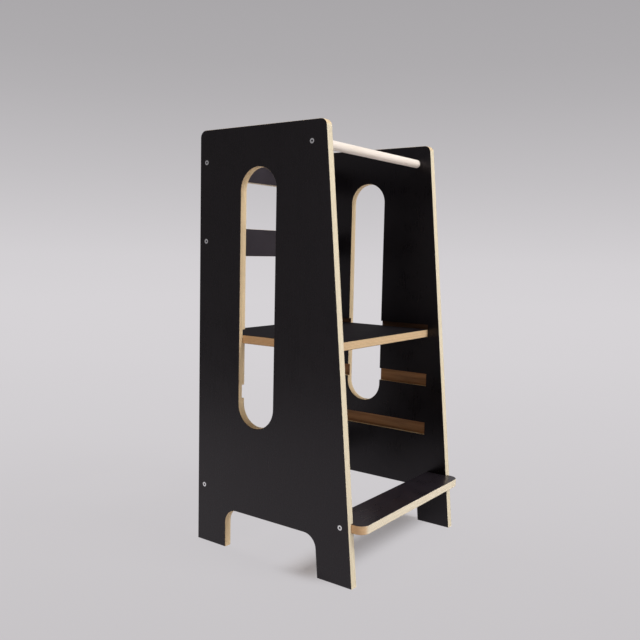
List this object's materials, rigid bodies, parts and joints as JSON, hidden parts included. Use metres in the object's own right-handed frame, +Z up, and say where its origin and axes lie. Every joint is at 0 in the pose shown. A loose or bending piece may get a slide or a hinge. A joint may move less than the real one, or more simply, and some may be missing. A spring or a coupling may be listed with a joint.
{
  "type": "toddler kitchen helper stool",
  "caption": "Child's standing tower: black-faced plywood sides with tall windows, a front step, a round grab bar, back rails, and a platform that slides out of its grooves.",
  "frame": {"origin": "on the floor, in the middle of the footprint", "axes": "+Z up; the child climbs in from -Y, the upright back edges face +Y; +X to the child's right hand going in"},
  "size_m": [0.433, 0.4342, 0.9],
  "materials": {
    "black_faced_plywood": "satin black film on both faces, bare birch plywood edges",
    "pale_hardwood": "sanded, clear matt oil",
    "zinc_steel": "bright zinc plate",
    "beech_pin": "bare, glued"
  },
  "bodies": {
    "frame": {"left_side_panel": "black_faced_plywood", "right_side_panel": "black_faced_plywood", "top_back_rail": "black_faced_plywood", "middle_back_rail": "black_faced_plywood", "lower_back_rail": "black_faced_plywood", "step_board": "black_faced_plywood", "grab_bar": "pale_hardwood", "left_top_rail_screw": "zinc_steel", "left_middle_rail_screw": "zinc_steel", "left_lower_rail_screw": "zinc_steel", "left_grab_bar_screw": "zinc_steel", "left_step_screw": "zinc_steel", "right_top_rail_screw": "zinc_steel", "right_middle_rail_screw": "zinc_steel", "right_lower_rail_screw": "zinc_steel", "right_grab_bar_screw": "zinc_steel", "right_step_screw": "zinc_steel", "left_top_rail_upper_pin": "beech_pin", "left_top_rail_lower_pin": "beech_pin", "left_middle_rail_upper_pin": "beech_pin", "left_middle_rail_lower_pin": "beech_pin", "left_lower_rail_upper_pin": "beech_pin", "left_lower_rail_lower_pin": "beech_pin", "right_top_rail_upper_pin": "beech_pin", "right_top_rail_lower_pin": "beech_pin", "right_middle_rail_upper_pin": "beech_pin", "right_middle_rail_lower_pin": "beech_pin", "right_lower_rail_upper_pin": "beech_pin", "right_lower_rail_lower_pin": "beech_pin"},
    "platform": {"platform_board": "black_faced_plywood"}
  },
  "joints": [
    {"name": "platform_slide", "type": "slide", "parent": "frame", "child": "platform", "axis": [0, 1, 0], "range_m": [0, 0.32]}
  ]
}
